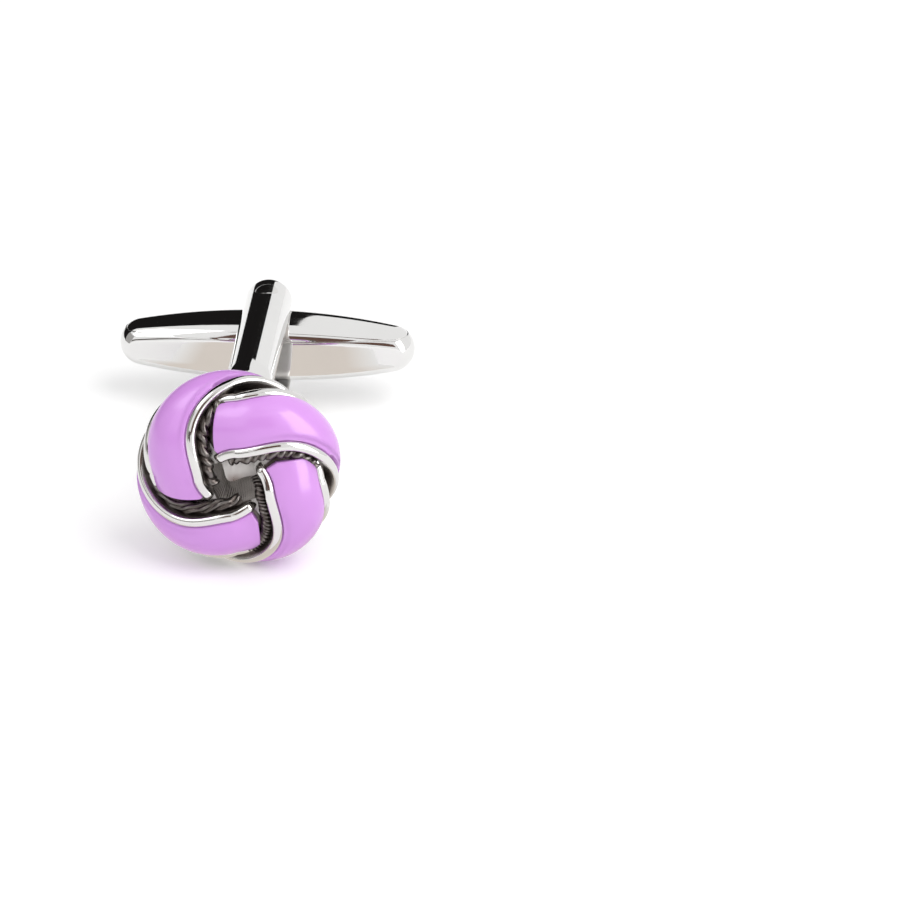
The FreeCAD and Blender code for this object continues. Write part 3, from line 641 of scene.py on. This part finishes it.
def enamel_field(shift_deg):
    """Top points of one enamel field at the right, and the same points at its bottom."""
    half = STRAP_WIDTH / 2 - RIM_WIDTH - ENAMEL_FIT
    lean = np.sin(np.linspace(-np.pi / 2, np.pi / 2, ENAMEL_STEPS))
    across = half * (lean + np.linspace(-1, 1, ENAMEL_STEPS)) / 2
    cover = STRAP_WIDTH / 2
    start = crossing_turns(across, START_SEARCH_DEG, STEP_DEG, -(cover + ENAMEL_START_GAP), False)
    end = crossing_turns(across, END_SEARCH_DEG, -STEP_DEG, cover + ENAMEL_END_GAP, True)
    turns = np.linspace(*PLATE_SEARCH_DEG, PLATE_SEARCH_STEPS)
    for index, value in enumerate(across):
        line = strap_points(turns, value, 0.0)
        ring = np.hypot(line[:, 0], line[:, 2])
        inside = (ring < PLATE_RADIUS + ENAMEL_PLATE_GAP) & (line[:, 1] > 0)
        if inside.any():
            end[index] = min(end[index], turns[np.argmax(inside)])
    start, end = np.maximum(smoothed(start), slanted_start(across, half, shift_deg)), smoothed(end)
    share = np.linspace(0, 1, ENAMEL_STATIONS)
    share = (share + (1 - np.cos(np.pi * share)) / 2) / 2
    turn = start[None, :] + (end - start)[None, :] * share[:, None]
    crown = ENAMEL_SET_DOWN - (ENAMEL_CROWN + ENAMEL_SET_DOWN) * (1 - (across / half) ** 2)
    below = np.broadcast_to(crown, turn.shape)
    plain = strap_points(turn, across[None, :], below)
    legs = np.linalg.norm(np.diff(plain, axis=0), axis=2)
    run = np.concatenate([np.zeros((1, ENAMEL_STEPS)), np.cumsum(legs, axis=0)])
    fall = rounding(run, START_ROUND, START_DROP) + rounding(run[-1] - run, END_ROUND, END_DROP)
    fall = fall + rounding(half - np.abs(across), SIDE_ROUND, SIDE_DROP)[None, :]
    bottom = ENAMEL_DEPTH - ENAMEL_FIT
    top = strap_points(turn, across[None, :], np.minimum(below + fall, bottom))
    return top, strap_points(turn, across[None, :], np.full(turn.shape, bottom))


def make_enamel(material):
    """The four enamel fields; each starts a little nearer or farther along its strap."""
    for name, place_deg in STRAPS.items():
        top, bottom = enamel_field(ENAMEL_SHIFT_DEG[name])
        rows, columns = top.shape[:2]
        size = rows * columns
        faces = grid_faces(rows, columns) + grid_faces(rows, columns, offset=size)
        border = list(range(columns))
        border += [row * columns + columns - 1 for row in range(1, rows)]
        border += [(rows - 1) * columns + column for column in range(columns - 2, -1, -1)]
        border += [row * columns for row in range(rows - 2, 0, -1)]
        for index, first in enumerate(border):
            second = border[(index + 1) % len(border)]
            faces.append((first, second, second + size, first + size))
        points = placed(np.concatenate([top, bottom]), place_deg).reshape(-1, 3)
        add_piece(f"enamel_field_{name}", points, faces, material, "knot_and_post",
                  (f"enamel_{name}",), crease_deg=ENAMEL_CREASE_DEG)


def make_ropes(material):
    """A twisted cord cast into the gutter beside each strap's inner rim, darkened with dark patina and
    painted shade, most in the hollows between its lobes.
    """
    turns = np.linspace(ROPE_FROM_DEG, ROPE_TO_DEG, ROPE_STATIONS)
    lie = -(STRAP_WIDTH / 2 + ROPE_LIE)
    line = strap_points(turns, lie, ROPE_BELOW)
    lifted = strap_points(turns, lie, ROPE_BELOW - ROPE_RADIUS)
    along = unit(np.gradient(line, axis=0))
    up = unit(lifted - line)
    up = unit(up - along * dot(up, along))
    side = np.cross(up, along)
    run = np.concatenate([[0], np.cumsum(np.linalg.norm(np.diff(line, axis=0), axis=1))])[:, None]
    around = np.linspace(0, 2 * np.pi, ROPE_SIDES, endpoint=False)
    way = side[:, None, :] * np.cos(around)[None, :, None] + up[:, None, :] * np.sin(around)[None, :, None]
    wander = 2 * np.pi * run / ROPE_WANDER
    faces = closed_faces(ROPE_STATIONS, ROPE_SIDES)
    for name, place_deg in STRAPS.items():
        pitch, strands = ROPES[name]
        twist = strands * around[None, :] + 2 * np.pi * run / pitch + ROPE_SWAY * np.sin(wander)
        hollow = 1 - np.abs(np.cos(twist / 2))
        swell = 1 + ROPE_SWELL * np.sin(ROPE_SWELL_PACE * wander)
        radius = ROPE_RADIUS * (1 - ROPE_LOBE_SHARE * hollow) * swell
        points = placed(line[:, None, :] + radius[..., None] * way, place_deg)
        # Darker in the hollows between the lobes: dark patina and painted shade.
        patina = np.clip(ROPE_PATINA_AND_SHADE + ROPE_HOLLOW_PATINA_AND_SHADE * hollow, 0, 1)
        add_piece(f"rope_{name}", points.reshape(-1, 3), faces, material,
                  "knot_and_post", (), patina.reshape(-1), ROPE_CREASE_DEG)


def make_hole_floor(material):
    """The brushed, dished face at the bottom of the front hole, over the end of the stem."""
    bottom = -(STEM_ENGAGE + FLOOR_PLATE)
    arc = (HOLLOW_RADIUS ** 2 + FLOOR_DISH ** 2) / (2 * FLOOR_DISH)
    profile = [(0, bottom + FLOOR_PLATE)]
    for radius in np.linspace(0, HOLLOW_RADIUS, DISH_STEPS):
        profile.append((radius, bottom - arc + math.sqrt(arc ** 2 - radius ** 2)))
    profile.append((HOLLOW_RADIUS, bottom + FLOOR_PLATE))
    points, faces = lathe(profile, LATHE_STEPS)
    add_piece("hole_floor", points, faces, material, "knot_and_post")


def make_back_plate(material):
    """The domed plate at the knot's back, its edge rounded, with the hole for the stem."""
    arc = (PLATE_RADIUS ** 2 + PLATE_DOME ** 2) / (2 * PLATE_DOME)
    front = -(PLATE_EDGE + PLATE_DOME)
    edge = PLATE_RADIUS - PLATE_ROUND
    profile = [(STEM_RADIUS, front), (edge, front)]
    for turn in np.linspace(-np.pi / 2, 0, ROUND_STEPS):
        profile.append((edge + PLATE_ROUND * math.cos(turn), front + PLATE_ROUND * (1 + math.sin(turn))))
    edge_y = math.sqrt(arc ** 2 - edge ** 2) - arc
    for turn in np.linspace(0, np.pi / 2, ROUND_STEPS + 1)[1:-1]:
        profile.append((edge + PLATE_ROUND * math.cos(turn), edge_y - PLATE_ROUND * (1 - math.sin(turn))))
    for radius in np.linspace(edge, STEM_RADIUS, DOME_STEPS):
        profile.append((radius, math.sqrt(arc ** 2 - radius ** 2) - arc))
    points, faces = lathe(profile, PLATE_LATHE_STEPS)
    add_piece("domed_plate", points, faces, material, "knot_and_post", ("back_plate",))


def leg_crown():
    """Half the bar's width, the rise of its rounded outside and the radius of that."""
    half = LEG_WIDTH / 2
    bulge = LEG_THICKNESS - LEG_EDGE
    return half, bulge, (half ** 2 + bulge ** 2) / (2 * bulge)


def leg_profile():
    """Section of the fork's bar: place across the bar and height above its inner face."""
    half, bulge, crown = leg_crown()
    limit = math.asin(half / crown)
    profile = []
    for turn in np.linspace(limit, -limit, LEG_CROWN_STEPS):
        profile.append((crown * math.sin(turn), LEG_EDGE + bulge - crown * (1 - math.cos(turn))))
    low = LEG_EDGE_ROUND
    profile += [(-half, low), (-half + low / 3, low / 3), (-half + low, 0)]
    profile += [(place, 0) for place in np.linspace(-half, half, LEG_FLAT_STEPS)[1:-1]]
    profile += [(half - low, 0), (half - low / 3, low / 3), (half, low)]
    return np.array(profile)


def fork_station(profile, y, z, lean, spread_deg=0):
    """The bar's section at an inner point (y, z); lean is the way out of the bow, from +Z to -Y."""
    spread_turn = math.radians(spread_deg)
    x = profile[:, 0] * math.cos(spread_turn)
    reach = np.abs(profile[:, 0]) * math.sin(spread_turn)
    out_y = -math.sin(lean) * profile[:, 1]
    out_z = math.cos(lean) * profile[:, 1]
    return np.stack([x, y + out_y + reach, z + out_z], -1)


def make_fork(material):
    """The U-shaped post: a half-round bar with ball-shaped leg ends, and the stem in the knot."""
    profile = leg_profile()
    inner = FORK_GAP / 2
    end_y = POST_REACH + LEG_OVERHANG
    bow_y = YOKE_SETBACK + LEG_THICKNESS
    bend_y = bow_y + BEND_RADIUS
    bend_z = inner - BEND_RADIUS
    stations = []
    for spread_deg in np.linspace(90, 0, LEG_END_STATIONS)[:-1]:
        stations.append(fork_station(profile, end_y, inner, 0, spread_deg))
    for y in np.linspace(end_y, bend_y, LEG_STATIONS):
        stations.append(fork_station(profile, y, inner, 0))
    for lean in np.linspace(0, math.pi / 2, BEND_STATIONS)[1:]:
        y = bend_y - BEND_RADIUS * math.sin(lean)
        stations.append(fork_station(profile, y, bend_z + BEND_RADIUS * math.cos(lean), lean))
    for z in np.linspace(bend_z, 0, YOKE_STATIONS)[1:]:
        stations.append(fork_station(profile, bow_y, z, math.pi / 2))
    mirrored = [station * np.array([1, 1, -1]) for station in stations[-2::-1]]
    rows = stations + mirrored
    points = np.concatenate(rows)
    inside = np.tile(profile[:, 1] < LEG_EDGE_ROUND / 2, len(rows))
    add_piece("fork_bar", points, grid_faces(len(rows), len(profile), wrap=True), material,
              "knot_and_post", ("post_fork",), inside, FORK_CREASE_DEG)
    foot = YOKE_SETBACK + LEG_EDGE
    collar = [(0, -STEM_ENGAGE), (STEM_RADIUS - STEM_FILLET, -STEM_ENGAGE)]
    run = np.linspace(STEM_FILLET - STEM_ENGAGE, foot - STEM_FILLET, STEM_STEPS)
    collar += [(STEM_RADIUS, y) for y in run]
    for turn in np.linspace(0, np.pi / 2, FILLET_STEPS)[1:]:
        radius = STEM_RADIUS + STEM_FILLET * (1 - math.cos(turn))
        collar.append((radius, foot - STEM_FILLET * (1 - math.sin(turn))))
    collar.append((0, foot))
    stem_points, stem_faces = lathe(collar, LATHE_STEPS)
    add_piece("fork_stem", stem_points, stem_faces, material, "knot_and_post",
              crease_deg=STEM_CREASE_DEG)


def crown_height(x, y):
    """How high the upper leg's outside lies at a place near the pin."""
    _, bulge, crown = leg_crown()
    beyond = np.maximum(y - POST_REACH - LEG_OVERHANG, 0)
    away = np.hypot(x, beyond)
    return FORK_GAP / 2 + LEG_EDGE + bulge - crown + np.sqrt(crown ** 2 - away ** 2)


def make_pin(material):
    """The pivot pin, its riveted ends finished flush with the legs inside a thin ring."""
    radius = PIN_DIAMETER / 2
    face = radius - PIN_RING
    around = np.linspace(0, 2 * np.pi, PIN_STEPS, endpoint=False)
    rings = [(radius, -PIN_SUNK), (radius, PIN_PROUD - PIN_RING)]
    rings.append((radius - PIN_RING / 2, PIN_PROUD - PIN_RING / 4))
    rings += [(face * (1 - share), PIN_PROUD) for share in np.linspace(0, PIN_FACE_SHARE, PIN_FACE_RINGS)]
    upper = []
    for ring_radius, proud in rings:
        x = ring_radius * np.cos(around)
        y = POST_REACH + ring_radius * np.sin(around)
        upper.append(np.stack([x, y, crown_height(x, y) + proud], -1))
    rows = upper[::-1] + [row * np.array([1, 1, -1]) for row in upper]
    dark = PIN_PATINA + [0] * PIN_FACE_RINGS
    patina = np.repeat(dark[::-1] + dark, PIN_STEPS)
    add_piece("flush_pin", np.concatenate(rows), closed_faces(len(rows), PIN_STEPS), material,
              "knot_and_post", ("pivot_pin",), patina)


def bullet_radius(x, half_height, half_length, nose):
    """The bullet's outline: one long arc between two round noses."""
    reach = half_length - nose
    long_arc = (reach ** 2 + half_height ** 2 - nose ** 2) / (2 * (half_height - nose))
    join = reach * long_arc / (long_arc - nose)
    away = np.abs(x)
    body = half_height - long_arc + np.sqrt(long_arc ** 2 - np.minimum(away, join) ** 2)
    ball = np.sqrt(np.maximum(nose ** 2 - (np.maximum(away, join) - reach) ** 2, 0))
    return np.where(away <= join, body, ball)


def flat_side(x, half_depth):
    """How far the bulged flat side lies from the middle at a place along the toggle."""
    return half_depth - SIDE_RADIUS + np.sqrt(SIDE_RADIUS ** 2 - x ** 2)


def half_section(radius, depth):
    """Right half of a section from its top to its bottom: arc, rounded edge, flat side and back."""
    soft = min(FLAT_ROUND, radius / 2, depth / 2)
    centre_y = min(depth, radius) - soft
    centre_z = math.sqrt(max((radius - soft) ** 2 - centre_y ** 2, 0))
    turn_to = math.atan2(centre_y, centre_z)
    arc = np.linspace(0, turn_to, ARC_STEPS)
    edge = np.linspace(turn_to, np.pi / 2, EDGE_STEPS)
    y = np.concatenate([radius * np.sin(arc), centre_y + soft * np.sin(edge)])
    z = np.concatenate([radius * np.cos(arc), centre_z + soft * np.cos(edge)])
    flat = np.linspace(centre_z, -centre_z, FLAT_STEPS)[1:-1]
    y = np.concatenate([y, np.full(len(flat), centre_y + soft), y[::-1]])
    z = np.concatenate([z, flat, -z[::-1]])
    return y, z


def part_of_half(y, z, top, bottom, steps):
    """The stretch of a half section between two heights, in even steps."""
    run = np.concatenate([[0], np.cumsum(np.hypot(np.diff(y), np.diff(z)))])
    fall = np.minimum.accumulate(z) - np.arange(len(z)) * 1e-12
    begin = np.interp(-top, -fall, run)
    finish = np.interp(-bottom, -fall, run)
    places = np.linspace(begin, finish, steps)
    return np.interp(places, run, y), np.interp(places, run, z)


def shell_points(half_length, half_height, half_depth, nose, top, bottom, lip):
    """Rings of one half of the bullet between two heights; a lip rounds its edge at the seam."""
    turn = np.linspace(-np.pi / 2, np.pi / 2, TOGGLE_STATIONS)
    places = half_length * np.sin(turn) * TOGGLE_TIP_SHARE
    rows = []
    for x in places:
        radius = float(bullet_radius(x, half_height, half_length, nose))
        depth = float(flat_side(x, half_depth))
        y, z = half_section(radius, depth)
        y, z = part_of_half(y, z, min(top, radius), max(bottom, -radius), TOGGLE_STEPS)
        seam_first = bottom <= -half_height
        seam = 0 if seam_first else -1
        cut = min(lip, y[seam] / 2)
        inner_y, inner_z = [y[seam] - cut], [z[seam]]
        z[seam] += -cut if seam_first else cut
        y = np.concatenate([inner_y, y] if seam_first else [y, inner_y])
        z = np.concatenate([inner_z, z] if seam_first else [z, inner_z])
        ring_y = np.concatenate([y, -y[::-1]])
        ring_z = np.concatenate([z, z[::-1]])
        rows.append(np.stack([np.full(len(ring_y), x), ring_y + POST_REACH, ring_z], -1))
    return rows


def make_toggle(material):
    """The tray below the seam and the slightly smaller lid above it."""
    half_length = TOGGLE_LENGTH / 2
    half_height = TOGGLE_HEIGHT / 2
    half_depth = TOGGLE_DEPTH / 2
    tray = shell_points(half_length, half_height, half_depth,
                        NOSE_RADIUS, SEAM_HEIGHT, -half_height, LIP_ROUND)
    lid = shell_points(half_length - LID_END_INSET, half_height - LID_INSET, half_depth - LID_INSET,
                       NOSE_RADIUS - LID_INSET, half_height, SEAM_HEIGHT, LIP_ROUND)
    lid = [row for row in lid if row[:, 2].max() > SEAM_HEIGHT + LIP_ROUND]
    for name, rows, node in (("tray_shell", tray, "toggle_tray"), ("lid_shell", lid, "toggle_lid")):
        add_piece(name, np.concatenate(rows), closed_faces(len(rows), len(rows[0])), material,
                  "toggle", (node,), crease_deg=TOGGLE_CREASE_DEG)


def view_axes():
    """Right, up and forward of the photograph's view, in the part's frame."""
    elevation = math.radians(VIEW_ELEVATION_DEG)
    yaw = math.radians(VIEW_YAW_DEG)
    roll = math.radians(VIEW_ROLL_DEG)
    ahead = math.cos(elevation)
    forward = Vector((-math.sin(yaw) * ahead, math.cos(yaw) * ahead, -math.sin(elevation)))
    level = forward.cross(Vector((0, 0, 1))).normalized()
    upright = level.cross(forward)
    right = level * math.cos(roll) + upright * math.sin(roll)
    up = upright * math.cos(roll) - level * math.sin(roll)
    return right, up, forward


def add_camera():
    """The camera of the photograph's view."""
    right, up, forward = view_axes()
    offset_x = (KNOT_PIXEL[0] - PICTURE / 2) / VIEW_SCALE
    offset_y = (PICTURE / 2 - KNOT_PIXEL[1]) / VIEW_SCALE
    knot = Vector((0, -KNOT_BACK, 0))
    place = knot - right * offset_x - up * offset_y - forward * VIEW_DISTANCE
    data = bpy.data.cameras.new("view")
    data.sensor_width = SENSOR_WIDTH
    data.lens = VIEW_SCALE * VIEW_DISTANCE / PICTURE * SENSOR_WIDTH
    data.clip_start = VIEW_DISTANCE / 100
    data.clip_end = VIEW_DISTANCE * 100
    camera = bpy.data.objects.new("view", data)
    turned = Matrix((right, up, -forward)).transposed()
    camera.matrix_world = Matrix.Translation(place) @ turned.to_4x4()
    bpy.context.scene.collection.objects.link(camera)
    bpy.context.scene.camera = camera


def seen_directly(nodes, links):
    """1 for rays from the camera, from glossy surfaces and through clear ones."""
    path = nodes.new("ShaderNodeLightPath")
    first = nodes.new("ShaderNodeMath")
    first.operation = "MAXIMUM"
    second = nodes.new("ShaderNodeMath")
    second.operation = "MAXIMUM"
    links.new(path.outputs["Is Camera Ray"], first.inputs[0])
    links.new(path.outputs["Is Glossy Ray"], first.inputs[1])
    links.new(first.outputs[0], second.inputs[0])
    links.new(path.outputs["Is Transmission Ray"], second.inputs[1])
    return second.outputs[0]


def add_world():
    """A white surround, a little weaker as a light than as it is seen."""
    world = bpy.data.worlds.new("studio")
    bpy.context.scene.world = world
    world.use_nodes = True
    nodes, links = world.node_tree.nodes, world.node_tree.links
    background = nodes["Background"]
    background.inputs["Color"].default_value = (1, 1, 1, 1)
    level = nodes.new("ShaderNodeMapRange")
    level.inputs["To Min"].default_value = WORLD_LIGHT
    level.inputs["To Max"].default_value = 1
    links.new(seen_directly(nodes, links), level.inputs["Value"])
    links.new(level.outputs["Result"], background.inputs["Strength"])


def floor_place(lift):
    """The place of the floor, or of a card that lies on it at a small lift."""
    knot_low = Vector((0, -KNOT_BACK, lift - (KNOT_RADIUS + WEAVE_RISE + FLOOR_GAP)))
    return Matrix.Translation(knot_low) @ Matrix.Rotation(math.radians(FLOOR_TILT_DEG), 4, "X")


def add_floor():
    """A pale floor just below the knot's lowest point and the end of the lower leg."""
    material, nodes, links, shader = new_material("floor_white")
    grain = noise_on(nodes, links, scale=40, detail=2)
    links.new(colour_mix(nodes, links, grain, *FLOOR_TONES), shader.inputs["Base Color"])
    shader.inputs["Roughness"].default_value = 0.9
    shader.inputs["Specular IOR Level"].default_value = 0
    shader.inputs["Emission Color"].default_value = (1, 1, 1, 1)
    level = nodes.new("ShaderNodeMapRange")
    level.inputs["To Min"].default_value = 0
    level.inputs["To Max"].default_value = FLOOR_GLOW
    links.new(seen_directly(nodes, links), level.inputs["Value"])
    links.new(level.outputs["Result"], shader.inputs["Emission Strength"])
    mesh = bpy.data.meshes.new("floor")
    edge = FLOOR_REACH
    corners = [(-edge, -edge, 0), (edge, -edge, 0), (edge, FLOOR_BACK, 0), (-edge, FLOOR_BACK, 0)]
    mesh.from_pydata(corners, [], [(0, 1, 2, 3)])
    mesh.materials.append(material)
    floor = bpy.data.objects.new("floor", mesh)
    floor.matrix_world = floor_place(0)
    bpy.context.scene.collection.objects.link(floor)


def add_board(name, points, faces, colour, fade=None):
    """A card or a bright window of the stage, seen only in the metal and the gloss; it may fade to white."""
    material, nodes, links, shader = new_material(name)
    share = noise_on(nodes, links, scale=30, detail=2)
    start = tuple(CARD_DIM * level for level in colour)
    if fade is not None:
        ramp = nodes.new("ShaderNodeAttribute")
        ramp.attribute_name = "fade"
        share, start = ramp.outputs["Fac"], (1, 1, 1)
    links.new(colour_mix(nodes, links, share, start, colour), shader.inputs["Emission Color"])
    shader.inputs["Base Color"].default_value = (0, 0, 0, 1)
    shader.inputs["Emission Strength"].default_value = 1
    shader.inputs["Specular IOR Level"].default_value = 0
    mesh = bpy.data.meshes.new(name)
    mesh.from_pydata([tuple(point) for point in points], [], faces)
    if fade is not None:
        mesh.attributes.new("fade", "FLOAT", "POINT").data.foreach_set("value", fade)
    mesh.materials.append(material)
    board = bpy.data.objects.new(name, mesh)
    bpy.context.scene.collection.objects.link(board)
    board.visible_camera = False
    board.visible_diffuse = False
    board.visible_shadow = False
    return board


def add_card(name, radius, side_range, height_range, colour):
    """A card bent round a part of the stage."""
    heights = np.radians(np.linspace(*height_range, CARD_STEPS))[:, None]
    sides = np.radians(np.linspace(*side_range, CARD_STEPS))[None, :]
    way = np.stack(np.broadcast_arrays(
        np.cos(sides) * np.cos(heights), np.sin(sides) * np.cos(heights), np.sin(heights)), -1)
    points = way.reshape(-1, 3) * radius
    add_board(name, points, grid_faces(CARD_STEPS, CARD_STEPS), colour)


def add_floor_shade_card():
    """A warm card flat on the floor before the toggle, seen only in the metal: a painted reflection of the
    floor's shade between the knot and the toggle in its flat side.
    """
    points = [(x, y, 0) for y in FLOOR_SHADE_CARD_DEPTHS for x in FLOOR_SHADE_CARD_SIDES]
    rows = len(FLOOR_SHADE_CARD_DEPTHS)
    faces = grid_faces(rows, len(FLOOR_SHADE_CARD_SIDES))
    board = add_board("floor_shade_card", points, faces, FLOOR_SHADE_CARD_COLOUR, FLOOR_SHADE_CARD_FADE * rows)
    board.matrix_world = floor_place(FLOOR_SHADE_CARD_LIFT)


def add_lamp(name, lamp_data):
    """A soft square lamp that faces the knot; a level of 1 is as bright as the white of the stage."""
    data = bpy.data.lights.new(name, "AREA")
    data.shape = "SQUARE"
    data.size = lamp_data["size"]
    data.energy = lamp_data["level"] * data.size ** 2 * math.pi
    lamp = bpy.data.objects.new(name, data)
    side, rise = math.radians(lamp_data["side_deg"]), math.radians(lamp_data["height_deg"])
    way = Vector((math.cos(side) * math.cos(rise), math.sin(side) * math.cos(rise), math.sin(rise)))
    lamp.location = Vector((0, -KNOT_BACK, 0)) + way * LAMP_DISTANCE
    lamp.rotation_euler = way.to_track_quat("Z", "Y").to_euler()
    lamp.visible_glossy = False
    bpy.context.scene.collection.objects.link(lamp)


def main():
    """Builds the dressed part and its stage."""
    bpy.context.scene.view_settings.view_transform = "Standard"
    plating = plating_material()
    casting = casting_material()
    make_straps(casting)
    make_core(casting)
    make_ropes(casting)
    make_enamel(enamel_material())
    make_hole_floor(satin_material())
    make_back_plate(plating)
    make_fork(plating)
    make_pin(casting)
    make_toggle(plating)
    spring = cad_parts["leaf_spring"]
    spring.data.materials.clear()
    spring.data.materials.append(steel_material())
    add_camera()
    add_world()
    add_floor()
    for name, card in CARDS.items():
        add_card(name, *card)
    add_floor_shade_card()
    add_lamp("soft_box", SOFT_BOX)
    bpy.context.view_layer.update()


main()
